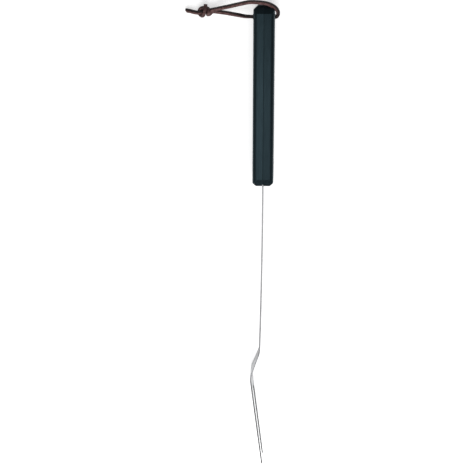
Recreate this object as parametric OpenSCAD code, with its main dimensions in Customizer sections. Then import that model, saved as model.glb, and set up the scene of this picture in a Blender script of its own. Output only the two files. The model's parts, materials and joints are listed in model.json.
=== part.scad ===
// Two-tined roasting fork, lying on its edge, with a leather lanyard tied through its handle.
// X runs along the handle toward the tines, Y is across the steel sheet, Z is up.
// The fork rests on the hanging end of its handle and on the lower edge of its palm.

/* [Handle] */
// Length of the handle
handle_len = 172.5; // [150:0.5:200]
// Width of the handle's square section
handle_w = 20.2; // [18.5:0.1:22]
// Radius of the four long edges
edge_r = 4; // [2.5:0.1:5]
// Width of the 45 degree cut down each side of the hanging end
top_cut = 4.6; // [3:0.1:5.5]
// Length of the slope on the top and bottom of the hanging end
top_slope = 7.8; // [5:0.1:10]
// Width of the 45 degree cut down each side of the blade end
front_cut = 3.3; // [2:0.1:4]
// Length of the slope on the top and bottom of the blade end
front_slope = 6.7; // [4:0.1:8]
// Bevel where the two handle halves meet
seam_bevel = 0.35; // [0.2:0.05:0.6]

/* [Hanging hole] */
// Distance of the hanging hole from the end of the handle
hole_from_end = 11.2; // [10:0.1:16]
// Bore of the eyelet that lines the hole
eyelet_bore = 3.8; // [3.8:0.1:4.4]
// Wall of the eyelet's tube
eyelet_wall = 0.3; // [0.25:0.05:0.5]
// How far the rolled rim reaches past the tube
rim_reach = 0.5; // [0.4:0.1:1.2]
// How far the rolled rim stands on the handle
rim_height = 0.5; // [0.4:0.1:0.8]

/* [Tang and rivets] */
// Length of the tang inside the handle
tang_len = 116; // [100:1:124]
// Width of the tang
tang_w = 11; // [9:0.5:13]
// Length of the full-width shoulder of the shank inside the handle
shoulder_len = 8; // [4:0.5:12]
// Diameter of the rivets through the handle and the tang
rivet_d = 4; // [3:0.5:5]
// Distance of the front rivet from the blade end of the handle
front_rivet = 22; // [18:0.5:30]
// Distance between the two rivets
rivet_pitch = 80; // [60:1:85]
// How far a rivet's domed end stands on the handle
rivet_dome = 0.3; // [0.2:0.05:0.5]

/* [Shank] */
// Thickness of the steel sheet
steel = 1.2; // [1:0.1:1.8]
// Width of the shank where it leaves the handle
shank_w = 15; // [13:0.5:17]
// Width of the shank at the upper bend
neck_w = 23.6; // [19:0.2:27]
// Length of the shank from the handle to the upper bend
shank_len = 169.5; // [150:0.5:190]
// How far the shank bows to one side on its way to the upper bend
shank_bow = 2; // [0.5:0.1:3]
// Length of the slanted step between the two bends
step_len = 24; // [20:0.5:30]
// How far the step carries the head to the side
step_side = 8.8; // [6:0.1:11]
// Radius of the upper bend along the middle of the sheet
upper_bend_r = 14; // [8:1:20]
// Radius of the lower bend along the middle of the sheet
lower_bend_r = 16; // [8:1:20]
// Slope of the head back toward the line of the handle, in degrees
head_slope = 7.4; // [5:0.1:9]

/* [Palm and tines] */
// Width of the palm at its widest
palm_w = 34; // [30:0.2:38]
// Distance of the palm's widest place past the lower bend
palm_run = 5; // [2:0.5:8]
// Length of the palm from the lower bend to the bottom of the slot
palm_len = 15; // [12:0.5:20]
// Length of the tines from the bottom of the slot to their points
tine_len = 79; // [60:0.5:95]
// Distance between the two points
tip_gap = 26; // [22:0.2:30]
// Width of a tine beside the bottom of the slot
tine_root_w = 6; // [5:0.1:7]
// Width of a tine where its point begins
tine_end_w = 3; // [2.4:0.1:4]
// Length of the ground point
point_len = 13; // [8:0.5:18]
// Width left at the very tip of the point
tip_w = 0.6; // [0.4:0.1:1]
// Radius of the corners at the bottom of the slot
slot_r = 7; // [4:0.5:9]

/* [Lanyard] */
// Width of the square leather lace
lace_w = 3.3; // [3:0.1:3.6]
// How far the lace's four edges are worn off
lace_edge = 0.75; // [0.5:0.05:0.9]

/* [Hidden] */
$fn = 48;

// Colours, as red, green and blue
handle_colour = [0.16, 0.21, 0.24];
steel_colour = [0.62, 0.63, 0.64];
eyelet_colour = [0.10, 0.11, 0.13];
leather_colour = [0.40, 0.28, 0.27];

// A hair of room between metal and handle, so that they seat without cutting into each other
fit = 0.02;
// How far a cutting shape runs past what it cuts
past = 1;

// Places along the handle's line, counted from the hanging end
tang_start = handle_len - tang_len;
shoulder_start = handle_len - shoulder_len;
upper_bend = handle_len + shank_len;
lower_bend = upper_bend + step_len;
palm_widest = lower_bend + palm_run;
slot_start = lower_bend + palm_len;
tip = slot_start + tine_len;
point_start = tip - point_len;
rivet_at = handle_len - front_rivet;

// The lie of the fork on its edge, and the height of the handle's line at the hanging end
lie = atan(max(0, palm_w - handle_w) / 2 / (palm_widest - top_slope));
lift = handle_w / 2 * cos(lie) - top_slope * sin(lie);
middle = tip / 2 * cos(lie);

// Side view of the sheet: the bow of the shank, the two bends and the slope of the head
bow_r = (pow(shank_len, 2) + pow(shank_bow, 2)) / 2 / shank_bow;
bow_steps = 14;
bend_steps = 8;
bow_turn = asin(shank_len / bow_r);
upper_corner = [upper_bend, -shank_bow];
lower_corner = upper_corner + [step_len, -step_side];
tip_corner = lower_corner + [tip - lower_bend, (tip - lower_bend) * tan(head_slope)];
step_slope = -atan(step_side / step_len);

// Points on a round bend that joins two straight stretches at a corner
function bend(corner, from, to, r) =
    let (
        turn = to - from,
        hand = sign(turn),
        reach = r * tan(abs(turn) / 2),
        start = corner - reach * [cos(from), sin(from)],
        centre = start + hand * r * [-sin(from), cos(from)]
    )
    [
        for (i = [0 : bend_steps])
            let (a = from + turn * i / bend_steps)
            centre + hand * r * [sin(a), -cos(a)]
    ];

// Points along the middle of the sheet; the bow stops short to leave room for the upper bend
function bow_point(u) = [handle_len + bow_r * sin(u), -bow_r * (1 - cos(u))];
bow_room = upper_bend_r * tan(abs(step_slope + bow_turn) / 2);
bow_end = asin((shank_len - bow_room) / bow_r);
middle_line = concat(
    [[tang_start - past, 0]],
    [for (i = [0 : bow_steps]) bow_point(bow_end * i / bow_steps)],
    bend(upper_corner, -bow_turn, step_slope, upper_bend_r),
    bend(lower_corner, step_slope, head_slope, lower_bend_r),
    [tip_corner + past * [cos(head_slope), sin(head_slope)]]
);

// A line drawn beside another one, at a fixed distance
function along(line, i) =
    let (
        a = line[max(i - 1, 0)],
        b = line[min(i + 1, len(line) - 1)]
    )
    (b - a) / norm(b - a);
function beside(line, d) =
    [for (i = [0 : len(line) - 1]) let (t = along(line, i)) line[i] + d * [-t.y, t.x]];
function backward(list) = [for (i = [len(list) - 1 : -1 : 0]) list[i]];

// Front view of the sheet, one half: out along the outer edge, back along the slot
flare_steps = 10;
corner_steps = 6;
tang_corner = 2;
slot_half = palm_w / 2 - tine_root_w;
tip_at = tip_gap / 2;
// Half the width midway along a point, as a share of the tine's width; it makes the point's sides full
point_swell = 0.36;
function flare(u) = (1 - cos(180 * u)) / 2;
half_outline = concat(
    [
        [tang_start, tang_w / 2 - tang_corner],
        [tang_start + tang_corner, tang_w / 2],
        [shoulder_start, tang_w / 2],
        [shoulder_start, shank_w / 2],
        [handle_len, shank_w / 2]
    ],
    [
        for (i = [1 : flare_steps])
            let (u = i / flare_steps)
            [handle_len + shank_len * u, shank_w / 2 + (neck_w - shank_w) / 2 * pow(u, 2)]
    ],
    [
        for (i = [1 : flare_steps])
            let (u = i / flare_steps)
            [
                upper_bend + (palm_widest - upper_bend) * u,
                neck_w / 2 + (palm_w - neck_w) / 2 * flare(u)
            ]
    ],
    [
        [point_start, tip_at + tine_end_w / 2],
        [point_start + point_len / 2, tip_at + tine_end_w * point_swell],
        [tip, tip_at + tip_w / 2],
        [tip, tip_at - tip_w / 2],
        [point_start + point_len / 2, tip_at - tine_end_w * point_swell],
        [point_start, tip_at - tine_end_w / 2]
    ],
    [
        for (i = [0 : corner_steps])
            let (a = 90 * i / corner_steps)
            [slot_start + slot_r * (1 - sin(a)), slot_half - slot_r * (1 - cos(a))]
    ]
);
full_outline = concat(
    half_outline,
    backward([for (p = half_outline) [p.x, -p.y]])
);

// The lace: a square thong with worn edges, and the two mouths that it leaves by
lace_flat = lace_w / 2 - lace_edge;
lace_section = [
    for (corner = [0 : 3])
        for (p = [[lace_w / 2, -lace_flat], [lace_w / 2, lace_flat]])
            [
                p.x * cos(90 * corner) - p.y * sin(90 * corner),
                p.x * sin(90 * corner) + p.y * cos(90 * corner)
            ]
];
mouth = handle_w / 2 + rim_height;
hole_x = hole_from_end * cos(lie) - middle;
hole_z = hole_from_end * sin(lie) + lift;

// How far the lace runs straight out of either mouth
straight_out = 0.9;
// One end of the lace: out of the right mouth, round the end of the handle to the knot,
// straight through the knot and out of it as the long tail
right_lace = concat(
    [[hole_x, mouth, hole_z], [hole_x, mouth + straight_out, hole_z]],
    [
        [-220.2, 12.6, 10.5], [-222.2, 13, 11.2], [-224.3, 12.6, 12.5], [-226.4, 11.4, 14],
        [-228.4, 9.5, 15.6], [-230.2, 6.6, 17], [-231.5, 3.4, 17.8], [-232.3, -0.5, 18],
        [-232.8, -5, 18], [-233, -9.5, 17.5], [-232.6, -15, 16], [-231.2, -21, 14],
        [-229.5, -27.5, 11.2], [-227.8, -34, 8.6], [-226.3, -40.5, 6.6], [-225.2, -45, 5.5]
    ],
    [
        [-224.4, -48.7, 4.9], [-223.6, -52, 4.7], [-222.8, -55.4, 4.4], [-221.8, -59.2, 4.3],
        [-221.5, -62.6, 3.8], [-221.8, -66, 3.2], [-222.7, -70, 2.7], [-223.4, -74, 2.4]
    ]
);
right_knot_start = 18;
// The other end: out of the left mouth, down to the knot, twice round the first strand,
// and out of the knot as the short stub
left_lace = concat(
    [[hole_x, -mouth, hole_z], [hole_x, -mouth - straight_out, hole_z]],
    [
        [-218.8, -14, 10], [-219, -18.5, 9.3], [-219.8, -24, 7.8], [-220.6, -30, 5.8],
        [-221.4, -36, 4], [-222, -42, 2.8]
    ],
    [
        [-222.6, -48.9, 2.4], [-221, -51, 1.9], [-219.6, -52.8, 2.8], [-220.6, -53.4, 5.2],
        [-222.9, -52.4, 7.2], [-225, -53, 5.8], [-225.8, -55.4, 4], [-225.8, -58.3, 3],
        [-224.6, -60.8, 2.2], [-222.4, -61.8, 1.8], [-220.2, -61.4, 2.1], [-218.8, -59.6, 3.4],
        [-219.4, -57.6, 5.8], [-221.6, -56.4, 7.6], [-224.4, -56, 7.8], [-227, -55.7, 6.8],
        [-229.4, -55.4, 5.4]
    ]
);
left_knot_start = 8;
// How far the lace has turned about its own line by the tip of the long tail
tail_turn = 45;

// A stretch of lace between two points of its route, so that neighbours share an end face
function unit(v) = v / norm(v);
function heading(route, i) =
    unit(route[min(i + 1, len(route) - 1)] - route[max(i - 1, 0)]);
function lace_ring(route, i, turn) =
    let (
        ahead = heading(route, i),
        side = unit(cross([0, 0, 1], ahead)),
        up = cross(ahead, side)
    )
    [
        for (p = lace_section)
            route[i]
            + side * (p.x * cos(turn) - p.y * sin(turn))
            + up * (p.x * sin(turn) + p.y * cos(turn))
    ];
module lace(route, first, last, end_turn) {
    sides = len(lace_section);
    rings = [
        for (i = [first : last])
            each lace_ring(route, i, end_turn * i / (len(route) - 1))
    ];
    skin = [
        for (i = [0 : last - first - 1])
            for (j = [0 : sides - 1])
                let (
                    a = i * sides + j,
                    b = i * sides + (j + 1) % sides
                )
                each [[a, a + sides, b], [b, a + sides, b + sides]]
    ];
    end = (last - first) * sides;
    caps = [
        for (j = [1 : sides - 2])
            each [[0, j, j + 1], [end, end + j + 1, end + j]]
    ];
    polyhedron(points = rings, faces = concat(skin, caps));
}

// Puts a piece that is drawn along the handle's line into its place on the table
module laid() {
    translate([-middle, 0, lift])
        rotate([0, -lie, 0])
            children();
}

// Handle seen from above or from the side, with its two cut ends
module handle_view(end_cut, end_run, blade_cut, blade_run) {
    half = handle_w / 2;
    edge = [
        [0, half - end_cut],
        [end_run, half],
        [handle_len - blade_run, half],
        [handle_len, half - blade_cut]
    ];
    polygon(concat(edge, backward([for (p = edge) [p.x, -p.y]])));
}

// Section of the handle: a square with round corners
module rounded_section() {
    square([handle_w, handle_w - 2 * edge_r], center = true);
    square([handle_w - 2 * edge_r, handle_w], center = true);
    for (y = [-1, 1])
        for (z = [-1, 1])
            translate([y, z] * (handle_w / 2 - edge_r))
                circle(edge_r);
}

// One half of that section, with the bevel along the seam
module half_section(side) {
    difference() {
        intersection() {
            rounded_section();
            translate([side * handle_w / 2, 0])
                square([handle_w, handle_w + past], center = true);
        }
        for (z = [-1, 1])
            translate([0, z * handle_w / 2])
                rotate(45)
                    square(seam_bevel * sqrt(2), center = true);
    }
}

// A round hole across the handle
module cross_hole(at, d) {
    translate([at, 0, 0])
        rotate([90, 0, 0])
            cylinder(h = handle_w + 2 * past, d = d, center = true);
}

// One half of the handle, hollowed on its inner face for the tang
module handle_half(side) {
    color(handle_colour)
        laid()
            difference() {
                intersection() {
                    rotate([90, 0, 90])
                        linear_extrude(handle_len)
                            half_section(side);
                    linear_extrude(handle_w + past, center = true)
                        handle_view(top_cut, top_cut, front_cut, front_cut);
                    rotate([90, 0, 0])
                        linear_extrude(handle_w + past, center = true)
                            handle_view(top_cut, top_slope, front_cut, front_slope);
                }
                translate([tang_start - fit, -steel / 2, -tang_w / 2 - fit])
                    cube([tang_len + past, steel, tang_w + 2 * fit]);
                translate([shoulder_start - fit, -steel / 2, -shank_w / 2 - fit])
                    cube([shoulder_len + past, steel, shank_w + 2 * fit]);
                cross_hole(rivet_at, rivet_d + 2 * fit);
                cross_hole(rivet_at - rivet_pitch, rivet_d + 2 * fit);
                cross_hole(hole_from_end, eyelet_bore + 2 * eyelet_wall + 2 * fit);
            }
}

module handle_half_left() {
    handle_half(-1);
}

module handle_half_right() {
    handle_half(1);
}

// Tang, shank, step, palm and tines in one bent sheet
module fork() {
    sheet_edge = concat(beside(middle_line, steel / 2), backward(beside(middle_line, -steel / 2)));
    color(steel_colour)
        laid()
            difference() {
                intersection() {
                    linear_extrude(palm_w + past, center = true)
                        polygon(sheet_edge);
                    rotate([90, 0, 0])
                        linear_extrude(2 * handle_w, center = true)
                            polygon(full_outline);
                }
                cross_hole(rivet_at, rivet_d + 2 * fit);
                cross_hole(rivet_at - rivet_pitch, rivet_d + 2 * fit);
            }
}

// A rivet across the handle, with a low dome at both ends
dome_steps = 6;
module rivet(at) {
    dome_r = (pow(rivet_d / 2, 2) + pow(rivet_dome, 2)) / 2 / rivet_dome;
    dome_centre = handle_w / 2 + rivet_dome - dome_r;
    spread = asin(rivet_d / 2 / dome_r);
    dome = [
        for (i = [0 : dome_steps])
            let (a = spread * i / dome_steps)
            [dome_r * sin(a), dome_centre + dome_r * cos(a)]
    ];
    color(steel_colour)
        laid()
            translate([at, 0, 0])
                rotate([90, 0, 0])
                    rotate_extrude()
                        polygon(concat(dome, backward([for (p = dome) [p.x, -p.y]])));
}

module rivet_front() {
    rivet(rivet_at);
}

module rivet_rear() {
    rivet(rivet_at - rivet_pitch);
}

// Tube through the hanging hole, rolled over both sides of the handle
module lanyard_eyelet() {
    bore_r = eyelet_bore / 2;
    tube_r = bore_r + eyelet_wall;
    rim_r = tube_r + rim_reach;
    half = handle_w / 2;
    roll = rim_height / 2;
    color(eyelet_colour)
        laid()
            translate([hole_from_end, 0, 0])
                rotate([90, 0, 0])
                    rotate_extrude()
                        difference() {
                            union() {
                                translate([bore_r, -half - roll])
                                    square([eyelet_wall, 2 * half + 2 * roll]);
                                for (end = [-1, 1]) {
                                    translate([bore_r + roll, end * (half + roll) - roll])
                                        square([rim_r - bore_r - 2 * roll, rim_height]);
                                    translate([bore_r + roll, end * (half + roll)])
                                        circle(roll, $fn = 24);
                                    translate([rim_r - roll, end * (half + roll)])
                                        circle(roll, $fn = 24);
                                }
                            }
                            square([2 * bore_r, handle_w + 4 * rim_height], center = true);
                        }
}

// The stretch of lace inside the eyelet, pressed round by it
module lanyard_in_hole() {
    color(leather_colour)
        laid()
            translate([hole_from_end, 0, 0])
                rotate([90, 0, 0])
                    cylinder(h = 2 * mouth, d = lace_w, center = true);
}

module lanyard_run_right() {
    color(leather_colour)
        lace(right_lace, 0, right_knot_start, tail_turn);
}

module lanyard_run_left() {
    color(leather_colour)
        lace(left_lace, 0, left_knot_start, 0);
}

// Both strands inside the knot, with the long tail and the short stub
module lanyard_knot() {
    color(leather_colour) {
        lace(right_lace, right_knot_start, len(right_lace) - 1, tail_turn);
        lace(left_lace, left_knot_start, len(left_lace) - 1, 0);
    }
}

fork();
handle_half_left();
handle_half_right();
rivet_front();
rivet_rear();
lanyard_eyelet();
lanyard_in_hole();
lanyard_run_right();
lanyard_run_left();
lanyard_knot();
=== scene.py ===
import json
from math import asin, atan2, cos, pi, radians, sin, tan

import bmesh
import bpy
from mathutils import Matrix, Vector
from mathutils.geometry import interpolate_bezier


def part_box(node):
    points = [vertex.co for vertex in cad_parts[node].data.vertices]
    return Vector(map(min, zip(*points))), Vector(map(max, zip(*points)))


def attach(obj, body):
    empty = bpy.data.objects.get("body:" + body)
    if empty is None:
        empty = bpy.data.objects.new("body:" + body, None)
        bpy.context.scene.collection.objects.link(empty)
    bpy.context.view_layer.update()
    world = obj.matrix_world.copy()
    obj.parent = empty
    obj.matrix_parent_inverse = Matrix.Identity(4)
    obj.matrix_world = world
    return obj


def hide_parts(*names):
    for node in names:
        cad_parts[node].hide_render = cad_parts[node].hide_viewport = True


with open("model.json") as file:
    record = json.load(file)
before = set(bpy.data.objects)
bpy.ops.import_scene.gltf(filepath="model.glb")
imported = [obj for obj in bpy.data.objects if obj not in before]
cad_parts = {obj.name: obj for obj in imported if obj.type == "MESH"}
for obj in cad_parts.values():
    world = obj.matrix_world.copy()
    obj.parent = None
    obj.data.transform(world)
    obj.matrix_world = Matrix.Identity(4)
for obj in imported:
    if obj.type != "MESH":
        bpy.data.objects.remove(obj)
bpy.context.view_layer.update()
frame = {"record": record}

# The camera looks down on the fork from past its hanging end, through a long lens.
# The fork runs down the picture, so the camera is turned a quarter turn.
PHOTO_SIDE = 464
FOCAL_PIXELS = 1280
SENSOR = 36
camera_data = bpy.data.cameras.new("camera")
camera_data.sensor_width = SENSOR
camera_data.lens = FOCAL_PIXELS / PHOTO_SIDE * SENSOR
camera = bpy.data.objects.new("camera", camera_data)
camera.location = (-0.3491, 0.0294, 1.2218)
camera.rotation_euler = [radians(angle) for angle in (-15.688, 2.827, 90.046)]
bpy.context.scene.collection.objects.link(camera)
bpy.context.scene.camera = camera
bpy.context.scene.view_settings.view_transform = "Standard"

# The lanyard is one square-cut leather lace. It goes through the eyelet in the handle, and its
# two ends are tied together: one runs straight through the knot and on as the long tail,
# the other goes twice round it and ends in a short stub.
LACE_WIDTH = 0.0033
LACE_WORN_EDGE = 0.0008
LACE_RING_STEP = 0.0004
eyelet_low, eyelet_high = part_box("lanyard_eyelet")
hole = (eyelet_low + eyelet_high) / 2
mouth = eyelet_high.y
STRAIGHT_OUT = 0.0009
RIGHT_LACE = [
    (-0.2202, 0.0126, 0.0105), (-0.2222, 0.013, 0.0112), (-0.2243, 0.0126, 0.0125),
    (-0.2264, 0.0114, 0.014), (-0.2284, 0.0095, 0.0156), (-0.2302, 0.0066, 0.017),
    (-0.2315, 0.0034, 0.0178), (-0.2323, -0.0005, 0.018), (-0.2328, -0.005, 0.018),
    (-0.233, -0.0095, 0.0175), (-0.2326, -0.015, 0.016), (-0.2312, -0.021, 0.014),
    (-0.2295, -0.0275, 0.0112), (-0.2278, -0.034, 0.0086), (-0.2263, -0.0405, 0.0066),
    (-0.2252, -0.045, 0.0055), (-0.2244, -0.0487, 0.0049),
]
LONG_TAIL = [
    (-0.2236, -0.052, 0.0047), (-0.2228, -0.0554, 0.0044), (-0.2218, -0.0592, 0.0043),
    (-0.2215, -0.0626, 0.0038), (-0.2218, -0.066, 0.0032), (-0.2227, -0.07, 0.0027),
    (-0.2234, -0.074, 0.0024),
]
LEFT_LACE = [
    (-0.2188, -0.014, 0.01), (-0.219, -0.0185, 0.0093), (-0.2198, -0.024, 0.0078),
    (-0.2206, -0.03, 0.0058), (-0.2214, -0.036, 0.004), (-0.222, -0.042, 0.0028),
    (-0.2226, -0.0489, 0.0024),
]
HITCH = [
    (-0.221, -0.051, 0.0019), (-0.2196, -0.0528, 0.0028), (-0.2206, -0.0534, 0.0052),
    (-0.2229, -0.0524, 0.0072), (-0.225, -0.053, 0.0058), (-0.2258, -0.0554, 0.004),
    (-0.2258, -0.0583, 0.003), (-0.2246, -0.0608, 0.0022), (-0.2224, -0.0618, 0.0018),
    (-0.2202, -0.0614, 0.0021), (-0.2188, -0.0596, 0.0034), (-0.2194, -0.0576, 0.0058),
    (-0.2216, -0.0564, 0.0076), (-0.2244, -0.056, 0.0078), (-0.227, -0.0557, 0.0068),
    (-0.2294, -0.0554, 0.0054),
]


def out_of_hole(side):
    """The first two points of a lace that leaves the right or the left mouth."""
    return [Vector((hole.x, side * (mouth + out), hole.z)) for out in (0, STRAIGHT_OUT)]


STEPS_PER_POINT = 12


def smooth(points):
    """Places along a smooth curve through a route's points, with even steps between points."""
    line = [points[0] * 2 - points[1], *points, points[-1] * 2 - points[-2]]
    places = []
    for before, here, there, after in zip(line, line[1:], line[2:], line[3:]):
        reach = (there - here).length / 3
        lead = here + (there - before).normalized() * reach
        follow = there - (after - here).normalized() * reach
        places += interpolate_bezier(here, lead, follow, there, STEPS_PER_POINT + 1)[:-1]
    return places + [points[-1]]


def way_along(places):
    """How far along a route each of its places is."""
    way = [0]
    for here, there in zip(places, places[1:]):
        way.append(way[-1] + (there - here).length)
    return way


def headings(places, level):
    """For each place, the heading of the lace and the direction of its top side.

    A level lace keeps its top side up; any other turns as little as it can.
    """
    found = []
    top = Vector((0, 0, 1))
    for i, place in enumerate(places):
        ahead = (places[min(i + 1, len(places) - 1)] - places[max(i - 1, 0)]).normalized()
        if level:
            top = Vector((0, 0, 1))
        elif found:
            top = found[-1][0].rotation_difference(ahead) @ top
        top = (top - ahead * top.dot(ahead)).normalized()
        found.append((ahead, top))
    return found


def straight_lace(length):
    """A straight square strip along X with worn edges, cut across at every ring step."""
    strip = bmesh.new()
    bmesh.ops.create_cube(strip, size=1)
    bmesh.ops.scale(strip, verts=strip.verts, vec=(length, LACE_WIDTH, LACE_WIDTH))
    bmesh.ops.translate(strip, verts=strip.verts, vec=(length / 2, 0, 0))
    long_edges = [e for e in strip.edges if abs((e.verts[0].co - e.verts[1].co).x) > length / 2]
    bmesh.ops.bevel(
        strip, geom=long_edges, offset=LACE_WORN_EDGE, offset_type="OFFSET", segments=3,
        profile=0.5, affect="EDGES", material=-1,
    )
    long_edges = [e for e in strip.edges if abs((e.verts[0].co - e.verts[1].co).x) > length / 2]
    bmesh.ops.subdivide_edges(
        strip, edges=long_edges, cuts=max(2, round(length / LACE_RING_STEP)), use_grid_fill=True,
    )
    return strip


def mark_sides(strip):
    """UV map of a strip: once round its section, and the distance along it in metres."""
    layer = strip.loops.layers.uv.new("lace")
    for face in strip.faces:
        middle = face.calc_center_median()
        round_middle = atan2(middle.z, middle.y)
        for loop in face.loops:
            turn = atan2(loop.vert.co.z, loop.vert.co.y) - round_middle
            turn = (turn + pi) % (2 * pi) - pi
            loop[layer].uv = ((round_middle + turn) / (2 * pi), loop.vert.co.x)


def lay(strip, places, start, twist, level):
    """Bends a straight strip onto a route, from a distance along it."""
    way = way_along(places)
    aims = headings(places, level)
    for vert in strip.verts:
        far = start + vert.co.x
        i = max(0, min(len(places) - 2, sum(1 for w in way[1:-1] if w <= far)))
        share = (far - way[i]) / (way[i + 1] - way[i])
        ahead = aims[i][0].lerp(aims[i + 1][0], share).normalized()
        top = aims[i][1].lerp(aims[i + 1][1], share)
        top = (top - ahead * top.dot(ahead)).normalized()
        side = top.cross(ahead)
        turn = twist(far)
        across = vert.co.y * cos(turn) - vert.co.z * sin(turn)
        up = vert.co.y * sin(turn) + vert.co.z * cos(turn)
        vert.co = places[i].lerp(places[i + 1], share) + side * across + top * up


def piece_from(mesh_work, name, materials, sharp=40):
    """Makes an object of a finished bmesh, smooth but for its sharp edges."""
    mesh = bpy.data.meshes.new(name)
    bmesh.ops.recalc_face_normals(mesh_work, faces=mesh_work.faces)
    if mesh_work.calc_volume(signed=True) < 0:
        bmesh.ops.reverse_faces(mesh_work, faces=mesh_work.faces)
    for face in mesh_work.faces:
        face.smooth = True
    mesh_work.to_mesh(mesh)
    mesh_work.free()
    mesh.set_sharp_from_angle(angle=radians(sharp))
    for material in materials:
        mesh.materials.append(material)
    piece = bpy.data.objects.new(name, mesh)
    bpy.context.scene.collection.objects.link(piece)
    return piece


def new_material(name):
    """A material with its shader."""
    material = bpy.data.materials.new(name)
    material.use_nodes = True
    return material, material.node_tree.nodes["Principled BSDF"]


def add_node(material, kind, inputs, **settings):
    """Adds a node to a material; an input is a value or another node's output."""
    node = material.node_tree.nodes.new("ShaderNode" + kind)
    for setting, value in settings.items():
        setattr(node, setting, value)
    for key, value in inputs.items():
        if isinstance(value, bpy.types.NodeSocket):
            material.node_tree.links.new(value, node.inputs[key])
        else:
            node.inputs[key].default_value = value
    return node


def calculate(material, operation, *values):
    """Adds a sum and gives its result."""
    return add_node(material, "Math", dict(enumerate(values)), operation=operation).outputs[0]


def blend_colours(material, share, first, second):
    """Adds a mix of two colours and gives its result."""
    inputs = {"Factor": share, 6: first, 7: second}
    return add_node(material, "Mix", inputs, data_type="RGBA").outputs[2]


def rough_up(material, shader, height, distance, strength=1.0):
    """Gives a material relief from a height."""
    bump = add_node(
        material, "Bump", {"Height": height, "Distance": distance, "Strength": strength},
    )
    material.node_tree.links.new(bump.outputs[0], shader.inputs["Normal"])


# The lace's top face is dyed dark and painted darker still: painted shade for the face turned
# away from the light, which leaves the cut sides light.
TOP_DYE_AND_PAINTED_SHADE = (0.020, 0.012, 0.012, 1)
CUT_SIDE = (0.150, 0.078, 0.076, 1)
CUT_SIDE_DARK = (0.060, 0.026, 0.024, 1)
WORN_EDGE = (0.045, 0.022, 0.021, 1)
leather, leather_shader = new_material("lace_leather")
leather_place = add_node(leather, "TexCoord", {})
leather_sides = add_node(leather, "SeparateXYZ", {0: leather_place.outputs["UV"]})
quarter = calculate(leather, "MULTIPLY", leather_sides.outputs[0], 4)
leather_corner = calculate(leather, "PINGPONG", quarter, 0.5)
near_corner = add_node(
    leather, "MapRange",
    {"Value": leather_corner, "From Min": 0.30, "From Max": 0.5, "To Min": 0, "To Max": 1},
    interpolation_type="SMOOTHSTEP",
).outputs[0]
on_top = calculate(leather, "COMPARE", quarter, 1, 0.46)
fibre_place = add_node(
    leather, "CombineXYZ",
    {0: calculate(leather, "MULTIPLY", quarter, 3.2),
     1: calculate(leather, "MULTIPLY", leather_sides.outputs[1], 700)},
)
fibres = add_node(
    leather, "TexNoise",
    {"Vector": fibre_place.outputs[0], "Scale": 1, "Detail": 5, "Roughness": 0.6},
)
grain = add_node(
    leather, "TexVoronoi", {"Vector": leather_place.outputs["Object"], "Scale": 2600},
)
blotches = add_node(
    leather, "TexNoise",
    {"Vector": leather_place.outputs["Object"], "Scale": 420, "Detail": 3, "Roughness": 0.55},
)
cut_colour = blend_colours(
    leather,
    add_node(
        leather, "MapRange",
        {"Value": blotches.outputs[0], "From Min": 0.35, "From Max": 0.62},
    ).outputs[0],
    CUT_SIDE_DARK, CUT_SIDE,
)
# Painted shade: the top face takes its dark colour whatever light falls on it.
side_colour = blend_colours(leather, on_top, cut_colour, TOP_DYE_AND_PAINTED_SHADE)
edge_share = calculate(leather, "MULTIPLY", near_corner, 0.75)
leather_colour = blend_colours(leather, edge_share, side_colour, WORN_EDGE)
leather.node_tree.links.new(leather_colour, leather_shader.inputs["Base Color"])
leather_roughness = add_node(
    leather, "MapRange",
    {"Value": fibres.outputs[0], "From Min": 0.3, "From Max": 0.7, "To Min": 0.42,
     "To Max": 0.62},
)
leather.node_tree.links.new(leather_roughness.outputs[0], leather_shader.inputs["Roughness"])
leather_relief = calculate(
    leather, "ADD",
    calculate(leather, "MULTIPLY", grain.outputs["Distance"], 0.5), fibres.outputs[0],
)
rough_up(leather, leather_shader, leather_relief, 0.00012, 0.7)

right_route = out_of_hole(1) + [Vector(p) for p in RIGHT_LACE + LONG_TAIL]
left_route = out_of_hole(-1) + [Vector(p) for p in LEFT_LACE + HITCH]
right_places = smooth(right_route)
left_places = smooth(left_route)
right_knot = way_along(right_places)[(len(RIGHT_LACE) + 1) * STEPS_PER_POINT]
left_knot = way_along(left_places)[(len(LEFT_LACE) + 1) * STEPS_PER_POINT]
right_whole = way_along(right_places)[-1]
left_whole = way_along(left_places)[-1]
STRAND_TURN = radians(62)
TAIL_TURN = radians(48)
TURN_LENGTH = 0.02


def strand_twist(far):
    """The lace leaves the eyelet flat and soon rolls back, so that a cut side shows."""
    return STRAND_TURN * min(1, far / TURN_LENGTH)


def right_twist(far):
    """Past the knot the right end rolls over until it lies on its corner."""
    more = max(0, min(1, (far - right_knot) / (TURN_LENGTH / 2)))
    return strand_twist(far) + (TAIL_TURN - STRAND_TURN) * more


SLANTED_SHARE = 1 / 6
TAIL_SLANT = 0.6
STUB_SLANT = 0.3


def slant_end(strip, length, slope):
    """Cuts the far end of a straight strip at a slant."""
    for vert in strip.verts:
        share = max(0, 1 - (1 - vert.co.x / length) / SLANTED_SHARE)
        vert.co.x += slope * vert.co.z * share


def lace_piece(name, places, start, end, twist, slope=0, level=True):
    """A length of lace, laid along its route between two distances from the eyelet's mouth."""
    strip = straight_lace(end - start)
    slant_end(strip, end - start, slope)
    mark_sides(strip)
    lay(strip, places, start, twist, level)
    piece = piece_from(strip, name, [leather])
    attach(piece, "root")
    return piece


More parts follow.
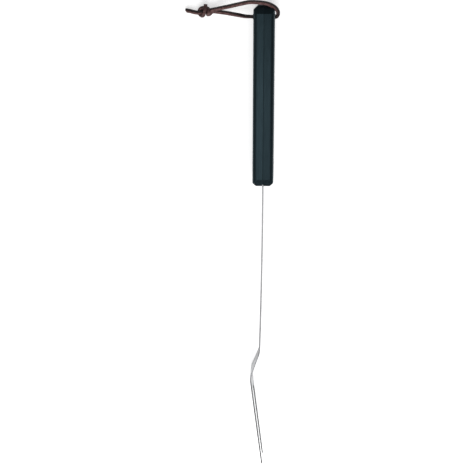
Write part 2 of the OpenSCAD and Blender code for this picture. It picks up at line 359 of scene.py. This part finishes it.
lace_right = lace_piece("lace_right", right_places, 0, right_knot, right_twist)
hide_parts("lanyard_run_right")
lace_left = lace_piece("lace_left", left_places, 0, left_knot, strand_twist, level=False)
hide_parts("lanyard_run_left")
tail = lace_piece(
    "lace_long_tail", right_places, right_knot, right_whole, right_twist, slope=TAIL_SLANT,
)
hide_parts("lanyard_knot")
hitch = lace_piece(
    "lace_hitch", left_places, left_knot, left_whole, strand_twist, slope=STUB_SLANT,
    level=False,
)
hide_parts("lanyard_knot")

through_hole = [Vector((hole.x, y, hole.z)) for y in (-mouth, -mouth / 2, 0, mouth / 2, mouth)]
inside = lace_piece(
    "lace_in_hole", smooth(through_hole), 0, 2 * mouth, lambda far: 0,
)
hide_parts("lanyard_in_hole")

# The fork's own parts are drawn along the handle's line, from its hanging end toward the tines.
# The fork lies on its edge, and its wide palm lifts the far end a little.
rest_face = frame["record"]["mounts"][0]["axis"]
LIE = asin(rest_face[0])
HANDLE_WIDTH = 0.0202
HOLE_FROM_END = 0.0112
lie_turn = Matrix.Rotation(-LIE, 4, "Y")
hanging_end = hole - lie_turn @ Vector((HOLE_FROM_END, 0, 0))
LAID = Matrix.Translation(hanging_end) @ lie_turn


HAIRLINE = 2e-6
ROUND_STEPS = 64


def finished(piece):
    """Applies a piece's modifiers and closes the hairline gaps that a cut can leave."""
    seen = piece.evaluated_get(bpy.context.evaluated_depsgraph_get())
    mesh = bpy.data.meshes.new_from_object(seen)
    piece.modifiers.clear()
    piece.data = mesh
    work = bmesh.new()
    work.from_mesh(mesh)
    bmesh.ops.remove_doubles(work, verts=work.verts, dist=HAIRLINE)
    bmesh.ops.dissolve_degenerate(work, edges=work.edges, dist=HAIRLINE)
    work.to_mesh(mesh)
    work.free()


def turned(profile, at):
    """Turns a profile of (radius, height) points into a round piece across the handle."""
    work = bmesh.new()
    verts = [work.verts.new((r, h, 0)) for r, h in profile]
    edges = [work.edges.new(pair) for pair in zip(verts, verts[1:] + verts[:1])]
    bmesh.ops.spin(
        work, geom=verts + edges, cent=(0, 0, 0), axis=(0, 1, 0), angle=2 * pi,
        steps=ROUND_STEPS,
        use_merge=True, dvec=(0, 0, 0),
    )
    bmesh.ops.remove_doubles(work, verts=work.verts, dist=1e-6)
    bmesh.ops.dissolve_degenerate(work, edges=work.edges, dist=1e-7)
    bmesh.ops.translate(work, verts=work.verts, vec=(at, 0, 0))
    bmesh.ops.transform(work, verts=work.verts, matrix=LAID)
    return work


# The eyelet is a thin steel tube through the hanging hole, rolled over at both ends and
# enamelled black. The lace fills it.
EYELET_BORE = 0.0038
EYELET_WALL = 0.0003
RIM_REACH = 0.0005
RIM_HEIGHT = 0.0005
ENAMEL_BLACK = (0.012, 0.014, 0.018, 1)
ENAMEL_WORN = (0.10, 0.10, 0.105, 1)
enamel, enamel_shader = new_material("eyelet_enamel")
enamel_shader.inputs["Roughness"].default_value = 0.3
enamel_place = add_node(enamel, "TexCoord", {})
enamel_specks = add_node(
    enamel, "TexNoise",
    {"Vector": enamel_place.outputs["Object"], "Scale": 1500, "Detail": 4},
)
enamel_wear = add_node(
    enamel, "MapRange",
    {"Value": enamel_specks.outputs[0], "From Min": 0.62, "From Max": 0.7},
)
enamel_colour = blend_colours(
    enamel, enamel_wear.outputs[0], ENAMEL_BLACK, ENAMEL_WORN,
)
enamel.node_tree.links.new(enamel_colour, enamel_shader.inputs["Base Color"])
rough_up(enamel, enamel_shader, enamel_specks.outputs[0], 0.00005, 0.4)

roll = RIM_HEIGHT / 2
bore_radius = EYELET_BORE / 2
rim_radius = bore_radius + EYELET_WALL + RIM_REACH


def rim_arc(centre_r, centre_h, start, end, steps=6):
    """Points on a rolled rim's round edge, from one angle to another."""
    angles = [radians(start + (end - start) * i / steps) for i in range(steps + 1)]
    return [(centre_r + roll * cos(a), centre_h + roll * sin(a)) for a in angles]


half = HANDLE_WIDTH / 2
upper_rim = (
    [(bore_radius + EYELET_WALL, half)]
    + rim_arc(rim_radius - roll, half + roll, -90, 90)
    + rim_arc(bore_radius + roll, half + roll, 90, 180)
)
lower_rim = [(r, -h) for r, h in reversed(upper_rim)]
eyelet = piece_from(turned(upper_rim + lower_rim, HOLE_FROM_END), "eyelet", [enamel], 50)
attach(eyelet, "root")
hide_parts("lanyard_eyelet")

# The handle is two moulded halves with a hair-fine seam between them. Each is bevelled back at
# both ends, rounded along its outer edges, and hollowed on its inner face for the tang.
HANDLE_LENGTH = 0.1725
EDGE_ROUND = 0.004
SEAM_BEVEL = 0.0002
TOP_CUT, TOP_SLOPE = 0.0046, 0.0078
FRONT_CUT, FRONT_SLOPE = 0.0033, 0.0067
SOFTENED = 0.0003
TANG_LENGTH = 0.116
TANG_WIDTH = 0.011
SHOULDER_LENGTH = 0.008
SHANK_WIDTH = 0.015
STEEL = 0.0012
RIVET = 0.004
FRONT_RIVET = 0.022
RIVET_PITCH = 0.080
FIT = 0.00002
PAST = 0.001
rivet_places = (HANDLE_LENGTH - FRONT_RIVET, HANDLE_LENGTH - FRONT_RIVET - RIVET_PITCH)


def cut_off(work, at, outward):
    """Cuts away what lies past a plane and closes the cut."""
    geometry = work.verts[:] + work.edges[:] + work.faces[:]
    cut = bmesh.ops.bisect_plane(
        work, geom=geometry, plane_co=at, plane_no=outward, clear_outer=True, dist=1e-7,
    )
    edges = [e for e in cut["geom_cut"] if isinstance(e, bmesh.types.BMEdge)]
    bmesh.ops.contextual_create(work, geom=edges)


def box_between(low, high):
    """A box from corner to corner."""
    work = bmesh.new()
    bmesh.ops.create_cube(work, size=1)
    size = Vector(high) - Vector(low)
    bmesh.ops.scale(work, verts=work.verts, vec=size)
    bmesh.ops.translate(work, verts=work.verts, vec=(Vector(high) + Vector(low)) / 2)
    return work


def cut_away(piece, cutter):
    """Cuts the shape of a bmesh out of a piece."""
    bmesh.ops.recalc_face_normals(cutter, faces=cutter.faces)
    mesh = bpy.data.meshes.new("cutter")
    cutter.to_mesh(mesh)
    cutter.free()
    tool = bpy.data.objects.new("cutter", mesh)
    bpy.context.scene.collection.objects.link(tool)
    boolean = piece.modifiers.new("cut", "BOOLEAN")
    boolean.object = tool
    boolean.operation = "DIFFERENCE"
    boolean.solver = "EXACT"
    finished(piece)
    bpy.data.objects.remove(tool)
    bpy.data.meshes.remove(mesh)


def bore_across(at, radius):
    """A rod across the handle, to cut a bore with."""
    rod = bmesh.new()
    bmesh.ops.create_cone(
        rod, cap_ends=True, segments=ROUND_STEPS, radius1=radius, radius2=radius,
        depth=HANDLE_WIDTH + 2 * PAST,
    )
    bmesh.ops.rotate(rod, verts=rod.verts, matrix=Matrix.Rotation(pi / 2, 3, "X"))
    bmesh.ops.translate(rod, verts=rod.verts, vec=(at, 0, 0))
    return rod


def long_edges_at(work, y, z):
    """The edges that run the length of the handle at one corner of its section."""
    spot = Vector((y, z))
    return [e for e in work.edges if all((v.co.yz - spot).length < 1e-6 for v in e.verts)]


def handle_half(name, side, material):
    """One half of the handle, on the right (1) or left (-1) of the tang."""
    low = (0, min(0, side * half), -half)
    high = (HANDLE_LENGTH, max(0, side * half), half)
    work = box_between(low, high)
    for y, size, segments in ((side * half, EDGE_ROUND, 12), (0, SEAM_BEVEL, 2)):
        for z in (-half, half):
            bmesh.ops.bevel(
                work, geom=long_edges_at(work, y, z), offset=size, offset_type="OFFSET",
                segments=segments, profile=0.5, affect="EDGES", material=-1,
            )
    for z in (-1, 1):
        cut_off(work, (0, 0, z * (half - TOP_CUT)), (-TOP_CUT, 0, z * TOP_SLOPE))
        cut_off(
            work, (HANDLE_LENGTH, 0, z * (half - FRONT_CUT)), (FRONT_CUT, 0, z * FRONT_SLOPE),
        )
    cut_off(work, (0, side * (half - TOP_CUT), 0), (-1, side, 0))
    cut_off(work, (HANDLE_LENGTH, side * (half - FRONT_CUT), 0), (1, side, 0))
    bmesh.ops.remove_doubles(work, verts=work.verts, dist=1e-6)
    ends = [
        e for e in work.edges
        if len(e.link_faces) == 2 and e.calc_face_angle() > radians(14)
        and max(abs(v.co.y) for v in e.verts) > 1e-4
    ]
    bmesh.ops.bevel(
        work, geom=ends, offset=SOFTENED, offset_type="OFFSET", segments=3, profile=0.5,
        affect="EDGES", clamp_overlap=True, material=-1,
    )
    piece = piece_from(work, name, [material])
    start = HANDLE_LENGTH - TANG_LENGTH
    for begin, width in ((start, TANG_WIDTH), (HANDLE_LENGTH - SHOULDER_LENGTH, SHANK_WIDTH)):
        reach = width / 2 + FIT
        cut_away(
            piece,
            box_between(
                (begin - FIT, -STEEL / 2, -reach), (HANDLE_LENGTH + PAST, STEEL / 2, reach),
            ),
        )
    bores = [(at, RIVET / 2 + FIT) for at in rivet_places]
    bores.append((HOLE_FROM_END, EYELET_BORE / 2 + EYELET_WALL + FIT))
    for at, radius in bores:
        cut_away(piece, bore_across(at, radius))
    piece.data.transform(LAID)
    piece.data.set_sharp_from_angle(angle=radians(35))
    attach(piece, "root")
    return piece


def handle_plastic(name, tone):
    """Satin blue-black moulding; a higher tone has a little more sheen."""
    plastic, shader = new_material(name)
    shader.inputs["Specular IOR Level"].default_value = 0.62 * tone
    shader.inputs["Specular Tint"].default_value = (0.50, 0.84, 1.0, 1)
    place = add_node(plastic, "TexCoord", {})
    flow = add_node(
        plastic, "TexNoise",
        {"Vector": add_node(
            plastic, "Mapping", {"Vector": place.outputs["Object"], "Scale": (60, 900, 900)},
        ).outputs[0], "Scale": 1, "Detail": 4, "Roughness": 0.6},
    )
    cloud = add_node(
        plastic, "TexNoise",
        {"Vector": place.outputs["Object"], "Scale": 90, "Detail": 2},
    )
    dark = [c * tone for c in (0.003, 0.005, 0.0065)] + [1]
    light = [c * tone for c in (0.006, 0.010, 0.012)] + [1]
    colour = blend_colours(plastic, cloud.outputs[0], dark, light)
    plastic.node_tree.links.new(colour, shader.inputs["Base Color"])
    sheen = add_node(
        plastic, "MapRange",
        {"Value": flow.outputs[0], "From Min": 0.3, "From Max": 0.7, "To Min": 0.34,
         "To Max": 0.42},
    )
    plastic.node_tree.links.new(sheen.outputs[0], shader.inputs["Roughness"])
    pebble = add_node(
        plastic, "TexNoise", {"Vector": place.outputs["Object"], "Scale": 2800, "Detail": 2},
    )
    relief = calculate(plastic, "ADD", flow.outputs[0], pebble.outputs[0])
    rough_up(plastic, shader, relief, 0.00002, 0.5)
    return plastic


for side, word, tone in ((-1, "left", 1.28), (1, "right", 1.06)):
    piece = handle_half("handle_" + word, side, handle_plastic("handle_plastic_" + word, tone))
    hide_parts("handle_half_" + word)

# Two solid steel rivets pass through both halves and the tang. Their ends are set as low domes.
RIVET_DOME = 0.0003
STEEL_DARK = (0.54, 0.55, 0.565, 1)
STEEL_LIGHT = (0.70, 0.71, 0.72, 1)
steel, steel_shader = new_material("brushed_steel")
steel_shader.inputs["Metallic"].default_value = 1
steel_place = add_node(steel, "TexCoord", {})
brushing = add_node(
    steel, "TexNoise",
    {"Vector": add_node(
        steel, "Mapping", {"Vector": steel_place.outputs["Object"], "Scale": (25, 4000, 4000)},
    ).outputs[0], "Scale": 1, "Detail": 5, "Roughness": 0.65},
)
handling = add_node(
    steel, "TexNoise", {"Vector": steel_place.outputs["Object"], "Scale": 70, "Detail": 3},
)
steel_gloss = calculate(
    steel, "ADD",
    add_node(
        steel, "MapRange",
        {"Value": brushing.outputs[0], "From Min": 0.3, "From Max": 0.7, "To Min": 0.26,
         "To Max": 0.38},
    ).outputs[0],
    calculate(steel, "MULTIPLY", handling.outputs[0], 0.08),
)
steel.node_tree.links.new(steel_gloss, steel_shader.inputs["Roughness"])
steel_colour = blend_colours(
    steel, brushing.outputs[0], STEEL_DARK, STEEL_LIGHT,
)
steel.node_tree.links.new(steel_colour, steel_shader.inputs["Base Color"])
rough_up(steel, steel_shader, brushing.outputs[0], 0.00002, 0.5)

dome_radius = ((RIVET / 2) ** 2 + RIVET_DOME ** 2) / 2 / RIVET_DOME
dome_centre = half + RIVET_DOME - dome_radius
dome_spread = asin(RIVET / 2 / dome_radius)
DOME_STEPS = 6
dome = [
    (dome_radius * sin(dome_spread * i / DOME_STEPS),
     dome_centre + dome_radius * cos(dome_spread * i / DOME_STEPS))
    for i in range(DOME_STEPS + 1)
]
for at, word in zip(rivet_places, ("front", "rear")):
    profile = dome + [(r, -h) for r, h in reversed(dome)]
    rivet = piece_from(turned(profile, at), "handle_rivet_" + word, [steel])
    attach(rivet, "root")
    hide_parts("rivet_" + word)

# The fork itself is cut from one sheet of steel and bent: a tang in the handle, a long shank that
# bows to the left, a short slanted step, and a palm with two long tines that lean back.
NECK_WIDTH = 0.0236
SHANK_LENGTH = 0.1695
SHANK_BOW = 0.002
STEP_LENGTH = 0.024
STEP_SIDE = 0.0088
UPPER_BEND = 0.014
LOWER_BEND = 0.016
HEAD_SLOPE = radians(7.4)
PALM_WIDTH = 0.034
PALM_RUN = 0.005
PALM_LENGTH = 0.015
TINE_LENGTH = 0.079
TIP_GAP = 0.026
TINE_ROOT = 0.006
TINE_END = 0.003
POINT_LENGTH = 0.013
POINT_SWELL = 0.36
TIP_WIDTH = 0.0006
SLOT_ROUND = 0.007
TANG_CORNER = 0.002
OUTLINE_STEPS = 14
SLOT_STEPS = 8
BOW_STEPS = 40
BEND_STEPS = 16
upper_bend = HANDLE_LENGTH + SHANK_LENGTH
lower_bend = upper_bend + STEP_LENGTH
palm_widest = lower_bend + PALM_RUN
slot_start = lower_bend + PALM_LENGTH
tip = slot_start + TINE_LENGTH
point_start = tip - POINT_LENGTH
tang_start = HANDLE_LENGTH - TANG_LENGTH
shoulder_start = HANDLE_LENGTH - SHOULDER_LENGTH


def half_outline():
    """The sheet's outline above its middle line, out along its edge and back along the slot."""
    points = [
        (tang_start, TANG_WIDTH / 2 - TANG_CORNER),
        (tang_start + TANG_CORNER, TANG_WIDTH / 2),
        (shoulder_start, TANG_WIDTH / 2),
        (shoulder_start, SHANK_WIDTH / 2),
        (HANDLE_LENGTH, SHANK_WIDTH / 2),
    ]
    for i in range(1, OUTLINE_STEPS + 1):
        u = i / OUTLINE_STEPS
        wide = SHANK_WIDTH / 2 + (NECK_WIDTH - SHANK_WIDTH) / 2 * u ** 2
        points.append((HANDLE_LENGTH + SHANK_LENGTH * u, wide))
    for i in range(1, OUTLINE_STEPS + 1):
        u = i / OUTLINE_STEPS
        wide = NECK_WIDTH / 2 + (PALM_WIDTH - NECK_WIDTH) / 2 * (1 - cos(pi * u)) / 2
        points.append((upper_bend + (palm_widest - upper_bend) * u, wide))
    tine = TIP_GAP / 2
    midway = point_start + POINT_LENGTH / 2
    points += [
        (point_start, tine + TINE_END / 2),
        (midway, tine + TINE_END * POINT_SWELL),
        (tip, tine + TIP_WIDTH / 2),
        (tip, tine - TIP_WIDTH / 2),
        (midway, tine - TINE_END * POINT_SWELL),
        (point_start, tine - TINE_END / 2),
    ]
    slot_half = PALM_WIDTH / 2 - TINE_ROOT
    for i in range(SLOT_STEPS + 1):
        a = pi / 2 * i / SLOT_STEPS
        along = slot_start + SLOT_ROUND * (1 - sin(a))
        points.append((along, slot_half - SLOT_ROUND * (1 - cos(a))))
    return points


bow_radius = (SHANK_LENGTH ** 2 + SHANK_BOW ** 2) / 2 / SHANK_BOW
bow_turn = asin(SHANK_LENGTH / bow_radius)
step_slope = -atan2(STEP_SIDE, STEP_LENGTH)


def sheet_line():
    """Side view of the sheet's middle: corner to corner, with each bend as an arc."""
    line = [(tang_start - PAST, 0), (HANDLE_LENGTH, 0)]
    room = UPPER_BEND * tan(abs(step_slope + bow_turn) / 2)
    for i in range(1, BOW_STEPS + 1):
        a = asin((SHANK_LENGTH - room) / bow_radius) * i / BOW_STEPS
        line.append((HANDLE_LENGTH + bow_radius * sin(a), -bow_radius * (1 - cos(a))))
    corner = (upper_bend, -SHANK_BOW)
    for next_corner, start, end, radius in (
        ((lower_bend, -SHANK_BOW - STEP_SIDE), -bow_turn, step_slope, UPPER_BEND),
        (None, step_slope, HEAD_SLOPE, LOWER_BEND),
    ):
        hand = 1 if end > start else -1
        reach = radius * tan(abs(end - start) / 2)
        begin = (corner[0] - reach * cos(start), corner[1] - reach * sin(start))
        centre = (begin[0] - hand * radius * sin(start), begin[1] + hand * radius * cos(start))
        for i in range(BEND_STEPS + 1):
            a = start + (end - start) * i / BEND_STEPS
            line.append((centre[0] + hand * radius * sin(a), centre[1] - hand * radius * cos(a)))
        corner = next_corner or corner
    past_tip = tip + PAST
    line.append((past_tip, corner[1] + (past_tip - lower_bend) * tan(HEAD_SLOPE)))
    return line


fork_line = sheet_line()


def beside_line(s):
    """How far the middle of the sheet lies to the side at a distance from the hanging end."""
    for (s0, y0), (s1, y1) in zip(fork_line, fork_line[1:]):
        if s0 <= s <= s1:
            return y0 + (y1 - y0) * (s - s0) / (s1 - s0)
    return fork_line[-1][1]


blank = bmesh.new()
outline = half_outline()
rim = [blank.verts.new((s, 0, w)) for s, w in outline]
rim += [blank.verts.new((s, 0, -w)) for s, w in reversed(outline)]
blank.faces.new(rim)
for s, _ in fork_line[1:-1]:
    bmesh.ops.bisect_plane(
        blank, geom=blank.verts[:] + blank.edges[:] + blank.faces[:],
        plane_co=(s, 0, 0), plane_no=(1, 0, 0), dist=1e-7,
    )
SHORTEST_EDGE = 0.0002
bmesh.ops.remove_doubles(blank, verts=blank.verts, dist=SHORTEST_EDGE)
for vert in blank.verts:
    vert.co.y = beside_line(vert.co.x)
fork = piece_from(blank, "roasting_fork", [steel])
thicken = fork.modifiers.new("thickness", "SOLIDIFY")
thicken.thickness = STEEL
thicken.offset = 0
thicken.use_even_offset = True
ease = fork.modifiers.new("eased edges", "BEVEL")
ease.width = 0.0002
ease.segments = 3
ease.limit_method = "ANGLE"
ease.angle_limit = radians(50)
finished(fork)
for at in rivet_places:
    cut_away(fork, bore_across(at, RIVET / 2 + FIT))
fork.data.transform(LAID)
fork.data.set_sharp_from_angle(angle=radians(35))
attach(fork, "root")
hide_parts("fork")

# A white table top, a soft box overhead, a weaker one past the tines, and a dim room.
TABLE_REACH = 6
TABLE_DROP = 0.0001
floor_mesh = bpy.data.meshes.new("table_top")
floor_work = bmesh.new()
bmesh.ops.create_grid(floor_work, x_segments=1, y_segments=1, size=TABLE_REACH)
floor_work.to_mesh(floor_mesh)
floor_work.free()
floor = bpy.data.objects.new("table_top", floor_mesh)
floor.location.z = -TABLE_DROP
bpy.context.scene.collection.objects.link(floor)
table, table_shader = new_material("table_white")
table.node_tree.nodes.remove(table_shader)
light_path = add_node(table, "LightPath", {})
CAMERA_GLOW = 0.6
MIRRORED_GLOW = 0.25
mirrored = calculate(
    table, "MAXIMUM",
    light_path.outputs["Is Glossy Ray"], light_path.outputs["Is Transmission Ray"],
)
glow = calculate(
    table, "ADD",
    calculate(table, "MULTIPLY", light_path.outputs["Is Camera Ray"], CAMERA_GLOW),
    calculate(table, "MULTIPLY", mirrored, MIRRORED_GLOW),
)
table_diffuse = add_node(table, "BsdfDiffuse", {"Color": (0.8, 0.8, 0.8, 1)})
table_glow = add_node(table, "Emission", {"Strength": glow})
table_sum = add_node(
    table, "AddShader", {0: table_diffuse.outputs[0], 1: table_glow.outputs[0]},
)
table.node_tree.links.new(
    table_sum.outputs[0], table.node_tree.nodes["Material Output"].inputs["Surface"],
)
floor_mesh.materials.append(table)

world = bpy.data.worlds.new("studio")
world.use_nodes = True
bpy.context.scene.world = world
ROOM_GREY = 0.12
world.node_tree.nodes["Background"].inputs["Color"].default_value = (ROOM_GREY,) * 3 + (1,)


def soft_box(name, size, place, aim, watts):
    """A rectangular lamp at a place, turned toward a point."""
    data = bpy.data.lights.new(name, "AREA")
    data.shape = "RECTANGLE"
    data.size, data.size_y = size
    data.energy = watts
    lamp = bpy.data.objects.new(name, data)
    lamp.location = place
    lamp.rotation_euler = (Vector(aim) - Vector(place)).to_track_quat("-Z", "Y").to_euler()
    bpy.context.scene.collection.objects.link(lamp)
    return lamp


soft_box("overhead", (0.55, 0.5), (0.03, 0, 1.0), (0.03, 0, 0), 1.1)
fill = soft_box("past_the_tines", (1.6, 1.6), (1.05, 0.2, 0.95), (-0.1, 0, 0), 28)
fill.visible_glossy = False
